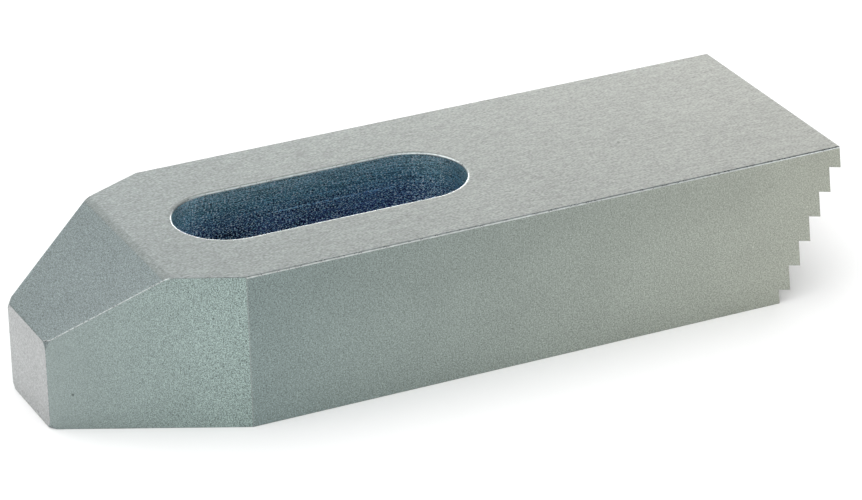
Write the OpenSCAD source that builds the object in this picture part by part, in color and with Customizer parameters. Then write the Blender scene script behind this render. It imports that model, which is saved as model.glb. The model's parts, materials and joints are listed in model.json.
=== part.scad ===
// Step clamp: one solid steel bar that a bolt pulls down onto a workpiece.
// The nose points along -Y and presses on the work, the toothed heel at +Y hooks
// into a step block, and the bolt passes through the long slot between them.
// Origin: on the flat underside, midway along the length and across the width.

/* [Bar] */
// Length from the nose to the tip of the first tooth
bar_length = 160; // [140:1:200]
// Width across the two long sides
bar_width = 54; // [44:1:70]
// Height from the flat underside to the flat top
bar_height = 31; // [26:0.5:40]
// Leg of the bevel along the edges of the flat top
edge_break = 0.3; // [0.1:0.1:1]
// Leg of the finer bevel that takes the sharpness off the other long edges
fine_break = 0.15; // [0.05:0.05:0.6]

/* [Nose] */
// Width of the upright pad at the front
nose_width = 20; // [12:1:30]
// Height of the upright pad at the front
nose_height = 18; // [12:0.5:22]
// How far back each side tapers
taper_length = 34; // [20:1:45]
// How far back the top slopes down to the pad
slope_length = 21; // [12:1:28]
// How deep the pad's two upper corners are rubbed down
high_corner = 0.4; // [0.2:0.1:1.5]
// How deep the pad's two lower corners are rubbed down
low_corner = 0.5; // [0.2:0.1:1.5]

/* [Slot] */
// Width of the slot, which is also the diameter of its round ends
slot_width = 22; // [14:0.5:28]
// Length of the slot from end to end
slot_length = 60; // [40:1:75]
// From the nose to the near end of the slot
slot_start = 31; // [30:1:40]
// Leg of the bevel round the slot's rim, above and below
rim_break = 0.3; // [0.1:0.1:1]

/* [Teeth] */
// From the flat top down to the tip of the first tooth
first_drop = 4.6; // [3:0.1:8]
// From the tip of one tooth down to the next
tooth_pitch = 4.8; // [3:0.1:8]
// How far each tooth stands back from the one above it
tooth_setback = 2.2; // [1:0.1:3]
// Slope of the teeth's undersides, up towards the nose, in degrees
tread_rise = 13; // [0:1:25]
// Lean of the teeth's faces, outwards towards their tips, in degrees
face_lean = 4; // [0:1:8]

/* [Hidden] */
$fn = 96;

nose_y = -bar_length / 2;
heel_y = bar_length / 2;
reach = 2 * (bar_length + bar_width + bar_height); // longer than the bar in any direction

slot_r = slot_width / 2;
slot_front_y = nose_y + slot_start + slot_r;              // centre of the front round end
slot_back_y = nose_y + slot_start + slot_length - slot_r; // centre of the back round end

// Teeth: each underside runs in and up from its tip until it meets the next tooth's face
tooth_count = ceil((bar_height - first_drop) / tooth_pitch);
tread_run = (tooth_setback + tooth_pitch * tan(face_lean))
          / (cos(tread_rise) - sin(tread_rise) * tan(face_lean));
top_end_y = heel_y - first_drop * tan(face_lean);

// Outward directions of the bar's faces, with the taper and side taken at +X
taper_depth = (bar_width - nose_width) / 2;
slope_depth = bar_height - nose_height;
UP = [0, 0, 1];
DOWN = [0, 0, -1];
SIDE = [1, 0, 0];
FRONT = [0, -1, 0];
BACK = [0, cos(face_lean), -sin(face_lean)];
TAPER = unit([taper_length, -taper_depth, 0]);
SLOPE = unit([0, -slope_depth, slope_length]);

function unit(v) = v / norm(v);

// Tip of tooth k, and the root behind it, as [y, z]; tooth 0 is the topmost
function tip(k) = [heel_y - k * tooth_setback, bar_height - first_drop - k * tooth_pitch];
function root(k) = tip(k) + tread_run * [-cos(tread_rise), sin(tread_rise)];

// Everything beyond a plane through `point` that faces along `normal`
module beyond(point, normal) {
    translate(point)
        rotate([0, acos(normal.z), atan2(normal.y, normal.x)])
            translate([-reach / 2, -reach / 2, 0])
                cube([reach, reach, reach]);
}

// Cutter that bevels the edge through `point` where faces a and b meet, with legs of `leg`
module bevel(point, a, b, leg) {
    middle = unit(a + b);
    depth = leg * sqrt(1 - pow(norm(a + b) / 2, 2));
    beyond(point - depth * middle, middle);
}

// Cutter that rubs down the corner at `point` where faces a, b and c meet
module blunt(point, a, b, c, depth) {
    middle = unit(a + b + c);
    beyond(point - depth * middle, middle);
}

module both_sides() {
    children();
    mirror([1, 0, 0]) children();
}

// Side view of the bar, drawn in Y and Z: nose, slope, top and toothed heel
module side_profile() {
    intersection() {
        polygon(concat(
            [[nose_y, 0], [nose_y, nose_height], [nose_y + slope_length, bar_height],
             [top_end_y, bar_height]],
            [for (k = [0 : tooth_count - 1]) each [tip(k), root(k)]],
            [tip(tooth_count), [nose_y, tip(tooth_count)[1]]]));
        translate([nose_y, 0])
            square([bar_length, bar_height]);
    }
}

// Top view of the bar, drawn in X and Y: straight sides that taper in to the nose
module plan() {
    half_nose = nose_width / 2;
    half_bar = bar_width / 2;
    polygon([[-half_nose, nose_y], [half_nose, nose_y],
             [half_bar, nose_y + taper_length], [half_bar, heel_y],
             [-half_bar, heel_y], [-half_bar, nose_y + taper_length]]);
}

// Bar with sharp edges and no slot: its side view and its top view, both true at once
module blank() {
    intersection() {
        rotate([90, 0, 90])
            translate([0, 0, -bar_width / 2])
                linear_extrude(bar_width)
                    side_profile();
        linear_extrude(bar_height)
            plan();
    }
}

// Bevels along the outer edges, and the rubbed-down corners of the nose pad
module edge_cuts() {
    nose_low = [nose_width / 2, nose_y, 0];
    nose_high = [nose_width / 2, nose_y, nose_height];
    shoulder_low = [bar_width / 2, nose_y + taper_length, 0];
    shoulder_high = [bar_width / 2, nose_y + taper_length, bar_height];

    both_sides() {
        bevel(shoulder_high, UP, SIDE, edge_break);
        bevel(shoulder_high, UP, TAPER, edge_break);
        bevel(shoulder_low, DOWN, SIDE, fine_break);
        bevel(nose_low, DOWN, TAPER, fine_break);
        bevel(nose_high, SLOPE, TAPER, fine_break);
        bevel(nose_low, FRONT, TAPER, fine_break);
        blunt(nose_low, DOWN, FRONT, TAPER, low_corner);
        blunt(nose_high, SLOPE, FRONT, TAPER, high_corner);
    }
    bevel(nose_low, FRONT, DOWN, fine_break);
    bevel(nose_high, FRONT, SLOPE, fine_break);
    bevel([0, top_end_y, bar_height], UP, BACK, fine_break);
}

// Long hole of radius r round both ends, from z = low to z = high
module long_hole(r, low, high) {
    for (y = [slot_front_y, slot_back_y])
        translate([0, y, low])
            cylinder(h = high - low, r = r);
    translate([-r, slot_front_y, low])
        cube([2 * r, slot_back_y - slot_front_y, high - low]);
}

// Bevel round the upper rim of the slot: two cones joined by a straight wedge
module rim_bevel() {
    past = slot_r; // how far the cutter reaches above the top
    wide = slot_r + rim_break + past;
    tall = rim_break + past;
    translate([0, 0, bar_height - rim_break]) {
        for (y = [slot_front_y, slot_back_y])
            translate([0, y, 0])
                cylinder(h = tall, r1 = slot_r, r2 = wide);
        translate([0, slot_back_y, 0])
            rotate([90, 0, 0])
                linear_extrude(slot_back_y - slot_front_y)
                    polygon([[-slot_r, 0], [slot_r, 0], [wide, tall], [-wide, tall]]);
    }
}

module slot() {
    long_hole(slot_r, -bar_height, 2 * bar_height);
    rim_bevel();
    translate([0, 0, bar_height])
        mirror([0, 0, 1])
            rim_bevel();
}

module clamp_bar() {
    color([0.66, 0.70, 0.69])
        difference() {
            blank();
            edge_cuts();
            slot();
        }
}

clamp_bar();
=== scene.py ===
# %% [markdown]
# # A step clamp in bare steel
#
# A step clamp is one bar of tempered steel. Its tapered nose presses on the work, a stud
# passes through its long slot, and its toothed heel hooks into a step block. The solid
# model already has the true shape, so this lesson is about what a solid model lacks: the
# slight roundness of real edges, the grain that grinding and milling leave, the wear along
# the edges, and soft light that lets bare steel show them.
#
# The bar lies along Y with its nose towards -Y, stands on z = 0, and is symmetric about
# x = 0. Everything is in metres.

import json
import math

import bmesh
import bpy
import numpy as np
from mathutils import Matrix, Vector


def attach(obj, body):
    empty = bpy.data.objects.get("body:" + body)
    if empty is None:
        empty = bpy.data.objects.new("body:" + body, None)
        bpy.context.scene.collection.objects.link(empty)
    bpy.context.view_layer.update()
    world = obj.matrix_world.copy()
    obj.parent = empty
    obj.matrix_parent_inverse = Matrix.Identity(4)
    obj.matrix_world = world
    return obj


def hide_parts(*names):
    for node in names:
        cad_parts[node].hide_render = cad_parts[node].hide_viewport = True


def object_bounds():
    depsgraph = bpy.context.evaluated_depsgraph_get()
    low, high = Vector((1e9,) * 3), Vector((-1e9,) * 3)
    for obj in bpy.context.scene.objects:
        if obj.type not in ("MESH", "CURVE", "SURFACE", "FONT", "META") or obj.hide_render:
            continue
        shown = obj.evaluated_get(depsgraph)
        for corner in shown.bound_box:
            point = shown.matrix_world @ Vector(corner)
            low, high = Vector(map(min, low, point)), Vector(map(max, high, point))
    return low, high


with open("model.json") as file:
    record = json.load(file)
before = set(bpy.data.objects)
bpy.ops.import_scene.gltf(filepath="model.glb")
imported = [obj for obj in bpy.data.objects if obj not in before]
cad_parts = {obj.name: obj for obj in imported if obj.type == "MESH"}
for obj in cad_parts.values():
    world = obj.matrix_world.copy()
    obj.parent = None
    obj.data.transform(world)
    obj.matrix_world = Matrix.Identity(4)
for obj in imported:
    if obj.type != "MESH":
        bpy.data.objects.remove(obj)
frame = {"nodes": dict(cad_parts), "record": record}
cad_low, cad_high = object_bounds()
MM = 0.001
print("solid model box, mm:", [round(v / MM, 2) for v in (*cad_low, *cad_high)])

# %% [markdown]
# ## Where things are on the bar
#
# The box of the solid gives its ends, its top and its half width. The slot's place is in the
# record, as the mount of the stud that passes through it, so it is read from there and not
# written twice. The ends of the nose's slope are read off the solid's corners: it reaches
# the flat top at the foremost corner of that height, and starts at the highest corner of
# the nose's end.

# %% Measures taken from the frame
NOSE_Y, HEEL_Y = cad_low.y, cad_high.y
HALF_WIDTH, TOP_Z = cad_high.x, cad_high.z

mounts = {mount["name"]: mount for mount in frame["record"]["mounts"]}
SLOT_MID_Y = mounts["bolt_slot"]["pos_m"][1]
SLOT_R = mounts["bolt_slot"]["dims"]["hole_r_mm"] * MM
SLOT_HALF_RUN = mounts["bolt_slot"]["dims"]["slot_length_mm"] * MM / 2 - SLOT_R
print("slot: mid y %.1f mm, radius %.1f mm" % (SLOT_MID_Y / MM, SLOT_R / MM))

points = np.array([corner.co for corner in frame["nodes"]["clamp_bar"].data.vertices])
SLOPE_TOP_Y = points[points[:, 2] > TOP_Z - 0.01 * MM, 1].min()
SLOPE_FOOT_Z = points[points[:, 1] < NOSE_Y + 0.01 * MM, 2].max()
print("slope: from z %.1f mm up to y %.1f mm" % (SLOPE_FOOT_Z / MM, SLOPE_TOP_Y / MM))

# %% [markdown]
# ## The bar, in whole faces
#
# The bar could be worked out anew as a profile and a few cuts, but the solid already holds
# those, true to its sizes, so the visible bar starts as a copy of it. No machined edge is
# perfectly sharp: even a crisp one has a radius of a tenth of a millimetre, and that radius
# is what catches the light. The solid's mesh comes as loose triangles, which can't be
# rounded, so the copy is merged into whole flat faces first.

# %% Merge a copy of the solid
WELD = 0.002 * MM  # corners closer than this are one corner


def merged_copy(source, name):
    """A new object whose mesh is source's with doubled corners merged and flat runs joined."""
    mesh = source.data.copy()
    mesh.name = name
    mesh.materials.clear()
    work = bmesh.new()
    work.from_mesh(mesh)
    bmesh.ops.remove_doubles(work, verts=work.verts, dist=WELD)
    bmesh.ops.dissolve_limit(
        work, angle_limit=math.radians(0.5), verts=work.verts, edges=work.edges
    )
    work.to_mesh(mesh)
    work.free()
    piece = bpy.data.objects.new(name, mesh)
    bpy.context.collection.objects.link(piece)
    return piece


bar = merged_copy(frame["nodes"]["clamp_bar"], "bar")
print("bar: %d whole faces" % len(bar.data.polygons))

# %% [markdown]
# ## Which machining left which face
#
# The flat top and the underside are ground, the long sides are linished, the nose's slope,
# tapers and end are milled, the slot is cut with a long end mill, and the teeth are cut
# across the heel. A face's direction and place tell which it is, so the finishes are dealt
# out by simple tests on whole arrays of face directions and centres. The slot's wall is
# curved at its ends, so it is told by its distance from the slot and not by its direction.

# %% Distance from the slot
def slot_distance(points):
    """Distance from the slot's wall, seen from above, for an (n, 3) array of points.

    The wall is every point at SLOT_R from a straight spine of half length SLOT_HALF_RUN,
    so this is the distance to the spine less the radius: 0 on the wall, more outside it."""
    along = np.abs(points[:, 1] - SLOT_MID_Y) - SLOT_HALF_RUN
    return np.hypot(points[:, 0], np.maximum(along, 0)) - SLOT_R


print("corners on the slot's wall: %d" % np.sum(np.abs(slot_distance(points)) < 0.1 * MM))

# %% Deal out the finishes
FINISHES = [
    "ground", "linished", "milled_slope", "milled_taper", "milled_end", "slot", "tooth",
    "dull_edge", "edge", "rim", "crest",
]
TOOTHED_RUN = 25 * MM  # the teeth lie within this length of the heel's end
SQUARE_ON = 0.999      # a face whose unit normal has more than this of one axis faces along it


def finish_of_each_face(piece):
    """The index into FINISHES of every face, from its unit normal and its centre.

    Later rules win: the bar's own flats come first, then the slot's wall, the teeth, which
    face along the bar at the heel, and the slanted corners of the nose's end. A face that no
    rule claims is a narrow one along an edge."""
    normal = np.array([face.normal for face in piece.data.polygons])
    centre = np.array([face.center for face in piece.data.polygons])
    nx, ny, nz = np.abs(normal[:, 0]), normal[:, 1], normal[:, 2]
    finish = np.full(len(normal), FINISHES.index("edge"))
    finish[np.abs(nz) > SQUARE_ON] = FINISHES.index("ground")
    finish[nx > SQUARE_ON] = FINISHES.index("linished")
    ahead = centre[:, 1] < SLOT_MID_Y - SLOT_HALF_RUN - SLOT_R
    finish[ahead & (nx < 0.01) & (ny < -0.3) & (nz > 0.6)] = FINISHES.index("milled_slope")
    finish[(nx > 0.8) & (ny < -0.3) & (np.abs(nz) < 0.01)] = FINISHES.index("milled_taper")
    finish[(nx < 0.01) & (ny < -SQUARE_ON)] = FINISHES.index("milled_end")
    in_slot = (np.abs(slot_distance(centre)) < 0.3 * MM) & (np.abs(nz) < 0.3)
    finish[in_slot] = FINISHES.index("slot")
    at_heel = (nx < 0.01) & (centre[:, 1] > HEEL_Y - TOOTHED_RUN) & (np.abs(nz) < SQUARE_ON)
    finish[at_heel & (nz < 0.5)] = FINISHES.index("tooth")
    at_nose = centre[:, 1] < NOSE_Y + 2 * MM
    slanted = at_nose & (nx > 0.2) & (np.abs(ny) > 0.2) & (np.abs(nz) > 0.3)
    finish[slanted] = FINISHES.index("dull_edge")
    return finish


finish = finish_of_each_face(bar)
bar.data.polygons.foreach_set("material_index", finish.astype(np.int32))
for index, name in enumerate(FINISHES):
    print("%-13s %3d faces" % (name, int((finish == index).sum())))

# %% [markdown]
# ## Sharp first, then round
#
# The solid's edges are broken at 45 degrees, as a drawing shows them. On the real bar a file
# and a stone leave them round. A round bevel needs room, and the narrow 45 degree faces leave
# none at the corners, so they are taken off first: each group of close corners moves to the
# one point where the big faces around it meet. That gives the bar as it was before its
# edges were broken.

# %% Take the narrow faces off
NARROW = 0.5 * MM  # the ends of the narrow faces are shorter than this


def sharpen(piece):
    """Closes the narrow edge faces, so that the big faces meet in sharp edges.

    Corners joined by an edge shorter than NARROW form a group. The big faces at a group
    lie in planes n . p = d, and the group moves to the least squares solution of those
    planes, counted from its middle, which for three planes is the point where they meet."""
    work = bmesh.new()
    work.from_mesh(piece.data)
    narrow = FINISHES.index("edge")
    groups = {vert: {vert} for vert in work.verts}
    for edge in work.edges:
        if edge.calc_length() < NARROW:
            joined = groups[edge.verts[0]] | groups[edge.verts[1]]
            for vert in joined:
                groups[vert] = joined
    for group in {id(group): group for group in groups.values() if len(group) > 1}.values():
        middle = sum((vert.co for vert in group), Vector()) / len(group)
        big = {face for vert in group for face in vert.link_faces if face.material_index != narrow}
        normals = np.array([face.normal for face in big])
        away = np.array([face.normal.dot(face.verts[0].co - middle) for face in big])
        shift = np.linalg.lstsq(normals, away, rcond=1e-6)[0]
        for vert in group:
            vert.co = middle + Vector(shift)
    bmesh.ops.remove_doubles(work, verts=work.verts, dist=WELD)
    bmesh.ops.dissolve_degenerate(work, edges=work.edges, dist=WELD)
    left = sum(face.material_index == narrow for face in work.faces)
    closed = all(edge.is_manifold for edge in work.edges)
    print("sharp bar: %d corners, %d faces, closed: %s, narrow faces left: %d" % (
        len(work.verts), len(work.faces), closed, left))
    work.to_mesh(piece.data)
    work.free()


sharpen(bar)

# %% [markdown]
# ## One straight cut
#
# A face with a hole in it needs two cuts from the hole to its outline. The cuts the solid
# came with run off at shallow angles, and a bevel that meets one of them goes astray. One
# straight cut along the bar's middle plane serves instead: it meets the slot's rim squarely.

# %% Cut the ground faces straight
SNAP = 1e-7                      # metres: the cut leaves a corner this near it whole
ON_MIDDLE = 1e-6                 # metres: a corner this near x = 0 is on the middle plane
ONE_FLAT = math.radians(0.05)    # neighbours that turn less than this are one flat face


def cut_down_the_middle(piece):
    """Cuts every face at x = 0, then joins flat neighbours except across the middle plane."""
    work = bmesh.new()
    work.from_mesh(piece.data)
    everything = list(work.verts) + list(work.edges) + list(work.faces)
    bmesh.ops.bisect_plane(work, geom=everything, dist=SNAP, plane_co=(0, 0, 0), plane_no=(1, 0, 0))
    flat = []
    for edge in work.edges:
        ground = any(face.material_index == FINISHES.index("ground") for face in edge.link_faces)
        middle = all(abs(vert.co.x) < ON_MIDDLE for vert in edge.verts)
        if edge.calc_face_angle() < ONE_FLAT and not (ground and middle):
            flat.append(edge)
    bmesh.ops.dissolve_edges(work, edges=flat, use_verts=False)
    passing = [vert for vert in work.verts if len(vert.link_edges) == 2]
    bmesh.ops.dissolve_verts(work, verts=passing)
    closed = all(edge.is_manifold for edge in work.edges)
    print("cut bar: %d corners, %d faces, closed: %s" % (len(work.verts), len(work.faces), closed))
    work.to_mesh(piece.data)
    work.free()


cut_down_the_middle(bar)

# %% [markdown]
# ## The bend
#
# The bend between the sloping nose and the flat top is rounder than the rest, as a bend left
# by the forge is. It could share the modifier that rounds the other edges, but it keeps its
# neighbours' finish and has a width of its own, so it is beveled by itself.

# %% Round the bend
BEND_RADIUS = 3.2 * MM


def is_bend(edge):
    """True for the edges across the bar where the slope meets the flat top."""
    finishes = {FINISHES[face.material_index] for face in edge.link_faces}
    return finishes == {"ground", "milled_slope"}


def round_bend(piece):
    """Bevels the bend: offset = radius times the tangent of half the turn."""
    work = bmesh.new()
    work.from_mesh(piece.data)
    edges = [edge for edge in work.edges if is_bend(edge)]
    turn = edges[0].calc_face_angle()
    made = bmesh.ops.bevel(
        work, geom=edges, offset=BEND_RADIUS * math.tan(turn / 2), offset_type="OFFSET",
        segments=6, profile=0.5, affect="EDGES", clamp_overlap=True,
    )
    print("bend: %d edges turn %.1f degrees, %d faces" % (
        len(edges), math.degrees(turn), len(made["faces"])))
    work.to_mesh(piece.data)
    work.free()


round_bend(bar)

# %% [markdown]
# ## Every other edge
#
# Each edge gets a weight, which tells one Bevel modifier how wide to round it: most along
# the flat top's straight sides and the slot's rims, where stones and hands rub, less at the
# corners of the nose, and only a glint elsewhere, also where the flat top meets the tapers
# and the heel. A weight for each edge keeps the widths in one place and lets the modifier
# join edges of different widths cleanly at their shared corners.

# %% Weigh the edges
BROKEN = 0.34 * MM               # along the flat top's straight sides and the slot's rims
RUBBED = 0.22 * MM               # at the corners of the nose
CRISP = 0.11 * MM                # everywhere else
FACET_TURN = math.radians(12)    # the facets of the slot's round ends turn less than this


def offset_of(edge):
    """How far from this edge its rounding starts, from the finishes that meet at it.

    The edges between the flat top and the tapers start within 1 mm of the slope's top, and
    that place tells them from the straight sides."""
    finishes = {FINISHES[face.material_index] for face in edge.link_faces}
    if edge.calc_face_angle() < FACET_TURN:
        return 0
    if "dull_edge" in finishes:
        return RUBBED
    if "ground" in finishes and "slot" in finishes:
        return BROKEN
    if "ground" in finishes and finishes & {"linished", "milled_taper"}:
        under = max(vert.co.z for vert in edge.verts) < 1 * MM
        ahead = min(vert.co.y for vert in edge.verts) < SLOPE_TOP_Y + 1 * MM
        return CRISP if under or ahead else BROKEN
    return CRISP


def weigh_edges(piece):
    """Writes bevel_weight_edge: each edge's offset over the widest one."""
    work = bmesh.new()
    work.from_mesh(piece.data)
    layer = work.edges.layers.float.new("bevel_weight_edge")
    for edge in work.edges:
        edge[layer] = offset_of(edge) / BROKEN
    rounded = sum(edge[layer] > 0 for edge in work.edges)
    print("edges to round: %d of %d" % (rounded, len(work.edges)))
    work.to_mesh(piece.data)
    work.free()


weigh_edges(bar)

# %% Round them
for _ in FINISHES:
    bar.data.materials.append(None)  # a place for each finish, filled further on
bevel = bar.modifiers.new("round_edges", "BEVEL")
bevel.limit_method = "WEIGHT"
bevel.offset_type = "OFFSET"
bevel.width = BROKEN
bevel.segments = 4
bevel.use_clamp_overlap = False
bevel.material = FINISHES.index("edge")


def apply_modifiers(piece):
    """Replaces the mesh by what its modifiers make of it."""
    graph = bpy.context.evaluated_depsgraph_get()
    sharp = piece.data
    piece.data = bpy.data.meshes.new_from_object(piece.evaluated_get(graph))
    piece.modifiers.clear()
    bpy.data.meshes.remove(sharp)


apply_modifiers(bar)
print("rounded bar: %d faces" % len(bar.data.polygons))

# %% [markdown]
# ## Bright edges and dull ones
#
# The strips that the rounding made are not all alike. The slot's rims and the slope's side edges
# are rubbed bright and carry painted highlights, the outline of the flat top a fainter painted
# highlight under a painted dark line, and the other edges keep the dull look of their neighbours.
# Each strip is told by where it lies, on whole arrays again.

# %% Sort the rounded strips
def sort_strips(piece):
    """Gives every rounded strip, now of the edge finish, its own kind of finish.

    A strip away from the top is dull, one beside the slope is its crest, and one within
    1 mm of the slot is its rim. The outline of the flat top keeps the edge finish."""
    normal = np.array([face.normal for face in piece.data.polygons])
    centre = np.array([face.center for face in piece.data.polygons])
    finish = np.array([face.material_index for face in piece.data.polygons])
    strip = finish == FINISHES.index("edge")
    near_slot = np.abs(slot_distance(centre)) < 1 * MM
    above_nose = (centre[:, 1] < SLOPE_TOP_Y) & (centre[:, 2] > SLOPE_FOOT_Z + 0.3 * MM)
    high = centre[:, 2] > TOP_Z - 0.6 * MM
    finish[strip & ~high] = FINISHES.index("dull_edge")
    finish[strip & above_nose & (np.abs(normal[:, 0]) > 0.1)] = FINISHES.index("crest")
    finish[strip & near_slot] = FINISHES.index("rim")
    piece.data.polygons.foreach_set("material_index", finish.astype(np.int32))
    for name in ("dull_edge", "edge", "rim", "crest"):
        print("%-9s %4d faces" % (name, np.sum(finish == FINISHES.index(name))))


sort_strips(bar)

# %% [markdown]
# ## Flat faces that shade flat
#
# The strips have to shade as one round edge, so every face is smooth. Smooth shading alone
# would bend the light across the large flats too. A Weighted Normal modifier stops that:
# at each corner it takes the direction of the largest face, so the flats stay flat and only
# the strips turn.

# %% Smooth strips, flat flats
bar.data.polygons.foreach_set("use_smooth", np.full(len(bar.data.polygons), True))
flats = bar.modifiers.new("flats_shade_flat", "WEIGHTED_NORMAL")
flats.mode = "FACE_AREA"
flats.weight = 100
print("smooth faces: %d" % sum(face.use_smooth for face in bar.data.polygons))

# %% [markdown]
# ## Colours and nodes
#
# Colours are written as people read them, as sRGB hex values, and one function turns them
# linear. A second function adds a node with its settings and its links.

# %% Colour and node helpers
def linear(hex_colour):
    """(r, g, b, 1) in linear light from an sRGB hex value such as "#8a9592"."""
    srgb = [int(hex_colour[i : i + 2], 16) / 255 for i in (1, 3, 5)]
    curve = [c / 12.92 if c <= 0.04045 else ((c + 0.055) / 1.055) ** 2.4 for c in srgb]
    return (*curve, 1.0)


def add(tree, kind, settings=None, **inputs):
    """A new node. Settings are attributes. An input is named, or numbered as i0, i1, ...,
    and is given a value, or a socket to link from."""
    node = tree.nodes.new(kind)
    for key, value in (settings or {}).items():
        setattr(node, key, value)
    for key, value in inputs.items():
        socket = node.inputs[int(key[1:]) if key[1:].isdigit() else key.replace("_", " ")]
        if isinstance(value, bpy.types.NodeSocket):
            tree.links.new(value, socket)
        else:
            socket.default_value = value
    return node


print("a middle grey, linear: %.3f" % linear("#808080")[0])

# %% [markdown]
# ## Grain, measured in millimetres
#
# Abrasive and cutters leave marks finer than a hair. A grinding wheel's grit is about
# 0.1 mm and a linishing belt's about 0.15 mm, which is too fine to show at the size of a
# whole bar, so both are drawn about twice as coarse. One helper makes noise whose blobs
# have a size in millimetres along X, Y and Z, so a scratch is simply a blob that is long in
# one direction. A second turns such noise into a multiplier around 1, and a third multiplies
# as many of them as a finish has.
#
# Noise is nearly even where its coordinate is a whole number, which happens all over a flat
# face that lies at a whole number of blobs from the origin. The sides lie at 27 mm, the top
# at 31 mm and the slot's wall at 11 mm, and the blob sizes used on each don't divide these.

# %% Grain helpers
NOISE_MIDDLE, NOISE_REACH = 0.5, 0.2  # noise lies mostly within this reach of its middle


def grain(tree, cell_mm, detail=1.0, shift=0.0):
    """Noise with blobs cell_mm = (x, y, z) long: object coordinates divided by the cell.

    Detail adds finer blobs, and a whole number of shift gives another piece of the noise."""
    place = add(tree, "ShaderNodeTexCoord").outputs["Object"]
    counted = add(
        tree, "ShaderNodeVectorMath", {"operation": "MULTIPLY_ADD"},
        i0=place, i1=[1 / (size * MM) for size in cell_mm], i2=(shift, shift, shift),
    )
    noise = add(tree, "ShaderNodeTexNoise", i0=counted.outputs[0], Scale=1.0, Detail=detail)
    return noise.outputs["Fac"]


def around_one(tree, value, swing):
    """Turns noise into a multiplier that lies mostly from 1 - swing to 1 + swing."""
    return add(
        tree, "ShaderNodeMapRange", {"clamp": False}, Value=value,
        From_Min=NOISE_MIDDLE - NOISE_REACH, From_Max=NOISE_MIDDLE + NOISE_REACH,
        To_Min=1 - swing, To_Max=1 + swing,
    ).outputs["Result"]


def product(tree, factors):
    """All the factors multiplied together."""
    total = factors[0]
    for factor in factors[1:]:
        total = add(
            tree, "ShaderNodeMath", {"operation": "MULTIPLY"}, i0=total, i1=factor
        ).outputs[0]
    return total


# %% [markdown]
# ## A tone that follows the bar
#
# Bare steel is a mirror, though a very dull one, so its grey depends on what stands around it, and
# it also drifts along the bar with heat treatment, oil and handling. The drift could be painted,
# but a colour ramp along one axis does it with two to four colours, each set at a place in
# millimetres. Some of these ramps paint light and shade as well: the slot's wall is painted darker
# with depth, the sides darker towards the nose, and the rims and the flat top's outline carry
# painted highlights.

# %% Tone by place
def tone_by_place(tree, coordinate, stops):
    """A colour that blends through stops, each (place in mm, hex), in order of place.

    Also gives how far along the stops each point lies, from 0 at the first to 1."""
    first, last = stops[0][0], stops[-1][0]
    share = add(
        tree, "ShaderNodeMapRange", Value=coordinate, From_Min=first * MM, From_Max=last * MM
    ).outputs["Result"]
    ramp = add(tree, "ShaderNodeValToRGB", i0=share)
    while len(ramp.color_ramp.elements) < len(stops):
        ramp.color_ramp.elements.new(0.5)
    for element, (stop_mm, colour) in zip(ramp.color_ramp.elements, stops):
        element.position = (stop_mm - first) / (last - first)
        element.color = linear(colour)
    return share, ramp.outputs["Color"]


# %% [markdown]
# ## One steel for all faces
#
# All the faces are the same tempered steel, so one function lays down what they share: a metal
# whose tone drifts from place to place, slow clouds left by handling and oil, and a fine grain that
# varies its colour, its roughness and its height together. What differs from face to face is the
# grain's length and strength, the marks on it, and its tone, which on the small end, the sides, the
# slot's wall and the edges also paints light and shade. The shader is fully metallic, because no
# coat or scale is left on a machined face, and its roughness is the 0.3 to 0.45 that stoned and
# ground steel has.

# %% Pits and painted glints
COLD = (0.42, 0.82, 1.0)  # linear red, green and blue of the pits and the painted glints in tempered steel


def add_pits_and_painted_glints(tree, tone, noise, pit, glint):
    """The tone, less up to pit of COLD where the noise is low, plus painted glints of up to the
    last argument times COLD where the noise is high, and never less than black."""
    low = add(
        tree, "ShaderNodeMapRange",
        Value=noise, From_Min=0.28, From_Max=0.5, To_Min=-pit, To_Max=0.0,
    )
    high = add(
        tree, "ShaderNodeMapRange",
        Value=noise, From_Min=0.6, From_Max=0.76, To_Min=0.0, To_Max=glint,
    )
    both = add(
        tree, "ShaderNodeMath", {"operation": "ADD"},
        i0=low.outputs["Result"], i1=high.outputs["Result"],
    )
    change = add(
        tree, "ShaderNodeVectorMath", {"operation": "SCALE"}, i0=COLD, Scale=both.outputs[0]
    )
    pits_and_painted_glints = add(tree, "ShaderNodeVectorMath", {"operation": "ADD"}, i0=tone, i1=change.outputs[0])
    return add(
        tree, "ShaderNodeVectorMath", {"operation": "MAXIMUM"},
        i0=pits_and_painted_glints.outputs[0], i1=(0.0, 0.0, 0.0),
    )


# %% Bare steel
CLOUD_MM = (10, 14, 10)  # smears of oil and handling, longer along the bar
DARKEST_SPECK = 0.1      # no speck of the grain is darker than this share of the tone
ROUGH_SWING = 0.05       # how far the roughness goes either way with the grain


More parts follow.
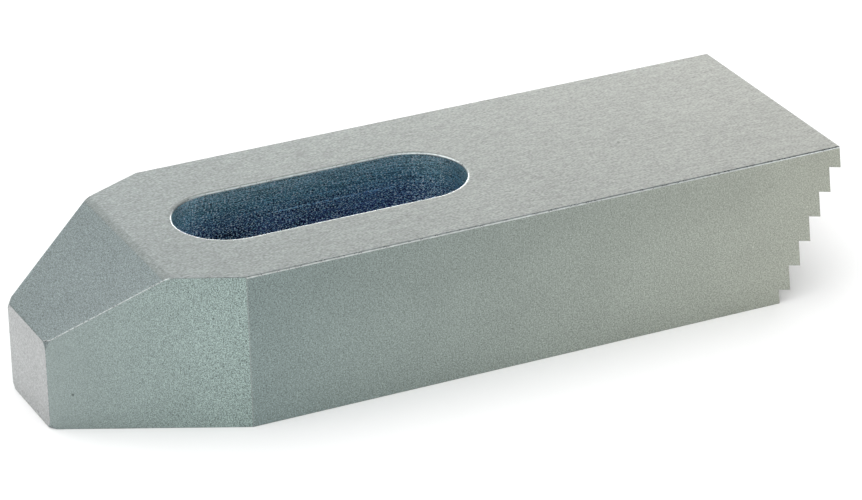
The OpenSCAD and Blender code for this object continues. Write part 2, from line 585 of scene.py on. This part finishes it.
def bare_steel(name, stops, cell_mm, speckle, clouding, rough, relief_mm, axis="Y",
               marks=(), pits_and_painted_glints=None):
    """A metal material named name.

    Colour = the tone at this place along the axis, times the clouds, times the grain, whose
    strength goes from one speckle value to the other along the same axis, times each mark: a
    function and its own values, which gives a factor. Torn steel also has pits and painted glints:
    its last argument, (pit, glint), takes up to pit of COLD away and adds up to glint of it,
    whatever the tone.
    Roughness swings about rough with the same grain, which also lifts the surface by
    relief_mm."""
    material = bpy.data.materials.new(name)
    material.use_nodes = True
    tree = material.node_tree
    tree.nodes.clear()
    place = add(tree, "ShaderNodeTexCoord").outputs["Object"]
    along = add(tree, "ShaderNodeSeparateXYZ", i0=place).outputs[axis]
    share, tone = tone_by_place(tree, along, stops)
    fine = grain(tree, cell_mm)
    swing = add(
        tree, "ShaderNodeMapRange", Value=share, To_Min=speckle[0], To_Max=speckle[1]
    ).outputs["Result"]
    centred = add(
        tree, "ShaderNodeMath", {"operation": "MULTIPLY_ADD"},
        i0=fine, i1=1 / NOISE_REACH, i2=-NOISE_MIDDLE / NOISE_REACH,
    )
    spots = add(
        tree, "ShaderNodeMath", {"operation": "MULTIPLY_ADD"},
        i0=centred.outputs[0], i1=swing, i2=1.0,
    ).outputs[0]
    spots = add(
        tree, "ShaderNodeMath", {"operation": "MAXIMUM"}, i0=spots, i1=DARKEST_SPECK
    ).outputs[0]
    clouds = around_one(tree, grain(tree, CLOUD_MM, 3.0, 5.0), clouding)
    factors = [clouds, spots]
    for make_factor, *values in marks:
        factors.append(make_factor(tree, place, *values))
    colour = add(
        tree, "ShaderNodeVectorMath", {"operation": "SCALE"}, i0=tone, Scale=product(tree, factors)
    )
    if pits_and_painted_glints:
        colour = add_pits_and_painted_glints(tree, colour.outputs[0], grain(tree, cell_mm, 0.0, 21.0), *pits_and_painted_glints)
    roughness = add(
        tree, "ShaderNodeMapRange",
        Value=fine, From_Min=NOISE_MIDDLE - NOISE_REACH, From_Max=NOISE_MIDDLE + NOISE_REACH,
        To_Min=rough - ROUGH_SWING, To_Max=rough + ROUGH_SWING,
    )
    bump = add(tree, "ShaderNodeBump", Height=fine, Distance=relief_mm * MM, Strength=1.0)
    shader = add(
        tree, "ShaderNodeBsdfPrincipled", Base_Color=colour.outputs[0], Metallic=1.0,
        Roughness=roughness.outputs["Result"], Normal=bump.outputs[0],
    )
    add(tree, "ShaderNodeOutputMaterial", Surface=shader.outputs[0])
    print("%s: %d nodes" % (name, len(tree.nodes)))
    return material


STEELS = {}

# %% [markdown]
# ## Ground top and underside
#
# The flat top and the underside are ground on a surface grinder. The wheel's grit leaves fine
# scratches along the bar, so the grain here is longer along Y, and the eye sees a smooth, even
# light grey, a little warmer towards the heel. Two things break it up: a narrow band beside the
# slot, darker on the -X side and painted bright on the +X side, a painted highlight, and a few
# specks and dents the size of a pinhead. Both are factors worked out from the place alone: a
# distance to a point, or to the slot. Long fine scratches lie over it all, drawn 0.4 mm apart,
# coarser than they are, so that they show.
# Every mark takes the node tree and the place first, whether or not it needs them both.

# %% Marks on a flat face
def long_lines(tree, place, cell_mm, swing):
    """Fine parallel lines: smooth noise with long narrow blobs, as a factor around 1."""
    return around_one(tree, grain(tree, cell_mm, 0.0, 3.0), swing)


def ramp(tree, place, axis, from_mm, to_mm, first, last):
    """A factor that goes evenly from first to last along an axis, and stays so beyond."""
    along = add(tree, "ShaderNodeSeparateXYZ", i0=place).outputs[axis]
    return add(
        tree, "ShaderNodeMapRange", Value=along,
        From_Min=from_mm * MM, From_Max=to_mm * MM, To_Min=first, To_Max=last,
    ).outputs["Result"]


def spot_mark(tree, place, x_mm, y_mm, z_mm, radius_mm, factor):
    """A round spot: factor within half its radius of the point, fading to 1 at its radius."""
    away = add(
        tree, "ShaderNodeVectorMath", {"operation": "DISTANCE"},
        i0=place, i1=(x_mm * MM, y_mm * MM, z_mm * MM),
    ).outputs["Value"]
    return add(
        tree, "ShaderNodeMapRange", Value=away,
        From_Min=0.5 * radius_mm * MM, From_Max=radius_mm * MM, To_Min=factor, To_Max=1.0,
    ).outputs["Result"]


def slot_band(tree, place, side, factor, from_mm, to_mm):
    """A band along the slot on the flat top, fading out from from_mm to to_mm outside it.

    The distance from the slot is |(x, y - y held within the slot's straight run)| less its
    radius, as in slot_distance. The band has its whole factor on one side of the bar, +1 or
    -1 for +X or -X, and none at the slot's ends, where x is 0."""
    parts = add(tree, "ShaderNodeSeparateXYZ", i0=place)
    low, high = SLOT_MID_Y - SLOT_HALF_RUN, SLOT_MID_Y + SLOT_HALF_RUN
    held = add(tree, "ShaderNodeClamp", Value=parts.outputs["Y"], Min=low, Max=high)
    past = add(
        tree, "ShaderNodeMath", {"operation": "SUBTRACT"}, i0=parts.outputs["Y"], i1=held.outputs[0]
    )
    flat = add(tree, "ShaderNodeCombineXYZ", X=parts.outputs["X"], Y=past.outputs[0])
    away = add(tree, "ShaderNodeVectorMath", {"operation": "LENGTH"}, i0=flat.outputs[0])
    peak = add(
        tree, "ShaderNodeMapRange", Value=parts.outputs["X"],
        From_Min=0.0, From_Max=side * SLOT_R, To_Min=1.0, To_Max=factor,
    )
    return add(
        tree, "ShaderNodeMapRange", Value=away.outputs["Value"], From_Min=SLOT_R + from_mm * MM,
        From_Max=SLOT_R + to_mm * MM, To_Min=peak.outputs["Result"], To_Max=1.0,
    ).outputs["Result"]


# %% Ground steel
STEELS["ground"] = bare_steel(
    "ground_steel", [(-80, "#8c9493"), (80, "#a1a39d")], cell_mm=(0.26, 0.55, 0.26),
    speckle=(0.31, 0.25), clouding=0.03, rough=0.42, relief_mm=0.002,
    marks=[
        (long_lines, (0.4, 2.6, 3.0), 0.07),
        (slot_band, 1, 1.65, 0.4, 0.7),           # painted highlight beside the slot, on the +X side
        (slot_band, -1, 0.66, 0.7, 1.0),          # darker beside the slot, on the -X side
        (spot_mark, 4.6, 42.7, 31, 0.4, 0.5),     # a speck of rust
        (spot_mark, -23.3, 49.3, 31, 0.3, 1.2),   # a nick
        (spot_mark, 17.8, 57.9, 31, 0.3, 1.2),    # a nick
        (spot_mark, -19.4, -14.8, 31, 0.9, 0.85), # a dull smear, in two blobs
        (spot_mark, -19.8, -13.6, 31, 0.7, 0.88),
    ],
)

# %% [markdown]
# ## Linished sides
#
# The long sides are linished, which means faced on a moving abrasive belt. The belt's grit crosses
# itself from pass to pass, so the grain has no direction that the eye can follow: a fine, even,
# greenish grey speckle, stronger towards the nose. Its tone is painted light along the side, darker
# towards the nose and lighter towards the heel, and a little lighter low down, a painted reflection
# of the pale floor.

# %% Linished steel
# painted light: the tone runs from darker at the nose to lighter at the heel
STEELS["linished"] = bare_steel(
    "linished_steel", [(-80, "#78898a"), (80, "#9c9f95")], cell_mm=(0.26, 0.27, 0.24),
    speckle=(0.4, 0.25), clouding=0.04, rough=0.45, relief_mm=0.002,
    marks=[
        # painted reflection of the pale floor: lighter low down
        (ramp, "Z", 3, 28, 1.1, 0.93),
        (spot_mark, 27, 45, 2.9, 0.25, 1.25),     # small bright nicks
        (spot_mark, 27, 60.5, 13.6, 0.25, 1.25),
        (spot_mark, 27, 47.4, 28, 0.25, 1.25),
        (spot_mark, 27, 72.5, 19.6, 0.25, 1.35),
        (spot_mark, 27, -20, 4, 0.25, 1.25),
    ],
)

# %% [markdown]
# ## Milled nose
#
# The slope, the two tapers and the small end are face milled. The cutter's feed marks are closer
# than the eye can part at this size, so what is left is a fine sandy speckle, which shows most on
# the tapers near the sides. The small end's tone is the lightest, painted light from the lamps
# ahead of the nose, and it has a dark dent at its foot.

# %% Milled steels
STEELS["milled_slope"] = bare_steel(
    "milled_slope_steel", [(-80, "#8f9a9a"), (-59, "#8f9a9a")], cell_mm=(0.25, 0.25, 0.22),
    speckle=(0.4, 0.4), clouding=0.03, rough=0.45, relief_mm=0.002,
    marks=[(spot_mark, 1, -68.9, 24.9, 0.3, 1.5)],
)
STEELS["milled_taper"] = bare_steel(
    "milled_taper_steel", [(-80, "#8f9a98"), (-46, "#91a19d")], cell_mm=(0.22, 0.2, 0.2),
    speckle=(0.2, 0.6), clouding=0.03, rough=0.45, relief_mm=0.002,
    marks=[(spot_mark, 12.1, -75.9, 7.2, 0.35, 0.45)],
)
# painted light: the end's tone is lighter than the slope's and the tapers', for the light that
# falls on it
STEELS["milled_end"] = bare_steel(
    "milled_end_steel", [(0, "#a9abab"), (18, "#a9abab")], cell_mm=(0.3, 0.3, 0.3),
    speckle=(0.3, 0.3), clouding=0.02, rough=0.42, relief_mm=0.002, axis="Z",
    marks=[(spot_mark, 3.6, -80, 0.9, 0.4, 0.35), (spot_mark, 3.0, -80, 0.4, 0.35, 1.5)],
)

# %% [markdown]
# ## The slot's wall
#
# The slot is cut with the side of an end mill, before the bar is hardened, and nothing cleans its
# wall afterwards. It keeps the blue of tempering, and its tone is painted darker the further down
# it goes, painted shade in the recess, darkest deep in the nose end, a painted shadow, and paler
# towards the heel, painted light. Over that lie lengthwise feed lines, pits and painted glints
# where the cutter tore the steel. Halfway down runs a broken bright line, the step where one pass
# of the cutter met the next.

# %% The witness line
LINE_MM = (0.06, 0.16)   # how far from its middle the line is still full, and then gone
LINE_FADE_MM = 3         # the length over which it fades at each end
DASH_MM = (5, 0.7, 5)    # the blobs of noise that break it, short along the bar


def witness_line(tree, place, z_mm, y_from_mm, y_to_mm, factor):
    """A bright line about 0.2 mm high along the wall, faded at its ends, in short dashes.

    Its strength = how close z is to z_mm, times how far y is within the run, times noise
    that is cut off sharply. The factor goes from 1 to factor with it."""
    parts = add(tree, "ShaderNodeSeparateXYZ", i0=place)
    middle, half = (y_from_mm + y_to_mm) / 2 * MM, (y_to_mm - y_from_mm) / 2 * MM
    strengths = []
    for axis, centre, full, none in (
        ("Z", z_mm * MM, LINE_MM[0] * MM, LINE_MM[1] * MM),
        ("Y", middle, half - LINE_FADE_MM * MM, half),
    ):
        off = add(
            tree, "ShaderNodeMath", {"operation": "SUBTRACT"}, i0=parts.outputs[axis], i1=centre
        )
        away = add(tree, "ShaderNodeMath", {"operation": "ABSOLUTE"}, i0=off.outputs[0])
        strengths.append(add(
            tree, "ShaderNodeMapRange", Value=away.outputs[0],
            From_Min=full, From_Max=none, To_Min=1.0, To_Max=0.0,
        ).outputs["Result"])
    strengths.append(add(
        tree, "ShaderNodeMapRange", Value=grain(tree, DASH_MM, 1.0, 9.0),
        From_Min=0.42, From_Max=0.52,
    ).outputs["Result"])
    return add(
        tree, "ShaderNodeMath", {"operation": "MULTIPLY_ADD"},
        i0=product(tree, strengths), i1=factor - 1, i2=1.0,
    ).outputs[0]


# %% Tempered steel in the slot
# painted shade: the tones darken with depth down the wall, over the blue of tempering; the bright
# specks are painted glints
STEELS["slot"] = bare_steel(
    "tempered_end_milled_steel",
    [(20, "#5d7195"), (24, "#6b8ca7"), (27, "#80aebf"), (31, "#a5c9d1")],
    cell_mm=(0.23, 0.36, 0.17), speckle=(0.4, 0.4), clouding=0.08, rough=0.42,
    relief_mm=0.003, axis="Z", pits_and_painted_glints=(0.32, 2.6),
    marks=[
        (long_lines, (3, 8, 0.15), 0.3),          # the cutter's feed lines
        (witness_line, 24.2, -27, 4, 2.8),
        (ramp, "Y", -18, 2, 1.0, 1.15),           # painted light: paler towards the heel
        (spot_mark, -11, -34, 16, 9, 0.4),        # painted shadow, deep in the nose end
    ],
)

# %% [markdown]
# ## The teeth
#
# The teeth are cut across the heel with a form cutter that runs from side to side, so their
# grain is drawn out along X. They are a clean light grey, since every setting of the clamp
# rubs them in the step block.

# %% Form milled steel
STEELS["tooth"] = bare_steel(
    "form_milled_steel", [(0, "#9fa298"), (31, "#9fa298")], cell_mm=(5.0, 0.22, 0.16),
    speckle=(0.08, 0.08), clouding=0.03, rough=0.4, relief_mm=0.002, axis="Z",
)

# %% [markdown]
# ## The edges
#
# Where the bar is stoned, rubbed and knocked, its steel is smoother and brighter than the flats
# beside it, so these strips have less roughness and a lighter tone. Over that wear their tones also
# paint light. The outline of the flat top is painted dark where it leaves the top and painted
# bright below it, a painted reflection and highlight, a little dimmer towards the heel. The slot's
# rim is painted brightest on the +X side, a painted highlight, and the crests of the slope carry a
# painted highlight all along. Every other edge looks like its neighbours.

# %% Steel along the edges
STEELS["dull_edge"] = bare_steel(
    "dull_edge_steel", [(-80, "#8a9494"), (80, "#969a92")], cell_mm=(0.3, 0.3, 0.3),
    speckle=(0.3, 0.3), clouding=0.02, rough=0.42, relief_mm=0.002,
)
# painted reflection and highlight: dark where the round leaves the top, bright below it, a little
# dimmer towards the heel
STEELS["edge"] = bare_steel(
    "rubbed_edge_steel",
    [(30.6, "#c2c7c5"), (30.84, "#c2c7c5"), (30.92, "#6f7575"), (31, "#6f7575")],
    cell_mm=(0.8, 0.8, 0.8), speckle=(0.18, 0.18), clouding=0.05, rough=0.3,
    relief_mm=0.0, axis="Z", marks=[(ramp, "Y", 15, 36, 1.0, 0.8)],
)
# painted highlight: near white on the +X side, darker on the -X side
STEELS["rim"] = bare_steel(
    "burnished_rim_steel",
    [(-12, "#9ea6a6"), (-10, "#9ea6a6"), (10, "#e2e6e6"), (12, "#e2e6e6")],
    cell_mm=(0.8, 0.8, 0.8), speckle=(0.2, 0.2), clouding=0.05, rough=0.3,
    relief_mm=0.0, axis="X",
)
# painted highlight along the slope's crests, over rubbed steel
STEELS["crest"] = bare_steel(
    "burnished_crest_steel", [(-80, "#bec2c2"), (-59, "#bec2c2")], cell_mm=(0.5, 0.5, 0.5),
    speckle=(0.3, 0.3), clouding=0.05, rough=0.3, relief_mm=0.0,
)

# %% [markdown]
# ## The visible bar stands for the solid
#
# Each finish goes into its place in the bar's list of materials. The bar then takes the
# solid's place to the eye, while the solid stays as it is for collision.

# %% Dress the bar
for place, name in enumerate(FINISHES):
    bar.data.materials[place] = STEELS[name]

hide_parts("clamp_bar")
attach(bar, "root")
print("bar wears %d steels" % len(bar.data.materials))

# %% [markdown]
# ## A pale floor
#
# A paper sweep, as product photographers use, can be curved up behind the object. Here the
# camera looks down, so a wide flat sheet fills the view by itself. It is matt and nearly
# white, so that it shows as white with only a soft shadow beside the bar.

# %% Floor
FLOOR_SIZE = 12.0  # metres, so that its far edge is out of view


def flat_floor(size):
    """A square of that size on z = 0, from its four corners, in matt paper white."""
    half = size / 2
    corners = [(-half, -half, 0), (half, -half, 0), (half, half, 0), (-half, half, 0)]
    mesh = bpy.data.meshes.new("floor")
    mesh.from_pydata(corners, [], [(0, 1, 2, 3)])
    floor = bpy.data.objects.new("floor", mesh)
    bpy.context.collection.objects.link(floor)
    material = bpy.data.materials.new("white_paper")
    material.use_nodes = True
    shader = material.node_tree.nodes["Principled BSDF"]
    shader.inputs["Base Color"].default_value = linear("#f8f8f8")
    shader.inputs["Roughness"].default_value = 0.9
    mesh.materials.append(material)
    return floor


print("floor: %g m wide" % flat_floor(FLOOR_SIZE).dimensions.x)

# %% [markdown]
# ## Soft light that bare steel can show
#
# Dull steel shows a blurred picture of whatever stands opposite each face, so a face's
# brightness is set by one or two lights and can be tuned almost by itself. Every light is a
# softbox, given by the direction it stands in, its distance, its size and its power. The
# large ones give the whole bar its tone and keep the shadow soft, the small ones lift a
# single face. Azimuth 0 is behind the heel, 90 is the +X side and 180 is ahead of the nose.

# %% Lights
BAR_MIDDLE = Vector((0, 0, TOP_Z / 2))
HEEL_SIDE = Vector((HALF_WIDTH, 0.055, 0.012))  # low on the +X side, just ahead of the teeth
FILL = 0.35  # strength of the even white light from all round


def softbox(name, azimuth, elevation, distance, width, height, power, aim=BAR_MIDDLE):
    """A rectangular area light that faces aim from that direction.

    The way to it is (sin a cos e, cos a cos e, sin e) for azimuth a and elevation e."""
    a, e = math.radians(azimuth), math.radians(elevation)
    way = Vector((math.sin(a) * math.cos(e), math.cos(a) * math.cos(e), math.sin(e)))
    data = bpy.data.lights.new(name, "AREA")
    data.shape = "RECTANGLE"
    data.size, data.size_y = width, height
    data.energy = power
    light = bpy.data.objects.new(name, data)
    light.location = aim + way * distance
    light.rotation_mode = "QUATERNION"
    light.rotation_quaternion = way.to_track_quat("Z", "Y")
    light.visible_camera = False
    bpy.context.collection.objects.link(light)
    print("%-12s %5.1f W, %.1f by %.1f m" % (name, power, width, height))
    return light


softbox("backdrop_low", -66, 8, 1.6, 1.6, 0.3, 12.2)  # a long low strip: the flat top's sheen
softbox("overhead", 0, 90, 1.6, 2.0, 2.0, 19.0)       # the large one: white floor, soft shadow
softbox("left_high", -102, 52, 1.5, 0.9, 0.6, 2.9)    # the far side and the top's middle
softbox("key_left", 163, 38, 1.5, 1.2, 0.8, 3.0)      # the nose's slope and end
softbox("right_card", 62, 22, 1.4, 0.6, 0.2, 1.0)     # the +X side towards the heel
softbox("camera_low", 110, 30, 1.6, 1.2, 0.5, 7.4)    # the +X side and its taper
softbox("nose_floor", -150, 40, 0.5, 0.4, 0.3, 0.4)   # the floor just ahead of the nose
softbox("heel_card", 40, 14, 0.22, 0.16, 0.08, 0.1, aim=HEEL_SIDE)  # a card close to the heel

world = bpy.data.worlds.new("studio")
bpy.context.scene.world = world
world.use_nodes = True
world.node_tree.nodes["Background"].inputs["Color"].default_value = (1, 1, 1, 1)
world.node_tree.nodes["Background"].inputs["Strength"].default_value = FILL

# %% [markdown]
# ## The camera
#
# A long lens from a little under a metre shows the bar almost without perspective, as
# catalogues do. It looks down on the +X side from ahead, so that the nose, the slot and the
# heel all show. The view transform is plain, so that a grey chosen is the grey seen.

# %% Camera
CAMERA_AT = Vector((0.69578, -0.31710, 0.37190))
AIM_AT = Vector((0.00220, 0.00288, 0.01550))
ROLL = math.radians(-1.479)
LENS_MM = 181.25

camera_data = bpy.data.cameras.new("camera")
camera_data.lens = LENS_MM
camera = bpy.data.objects.new("camera", camera_data)
bpy.context.collection.objects.link(camera)
back = (CAMERA_AT - AIM_AT).normalized()
level = back.to_track_quat("Z", "Y")
camera.rotation_mode = "QUATERNION"
camera.rotation_quaternion = level @ Matrix.Rotation(ROLL, 4, "Z").to_quaternion()
camera.location = CAMERA_AT
bpy.context.scene.camera = camera
bpy.context.scene.view_settings.view_transform = "Standard"
print("camera: %.2f m away" % (CAMERA_AT - AIM_AT).length)
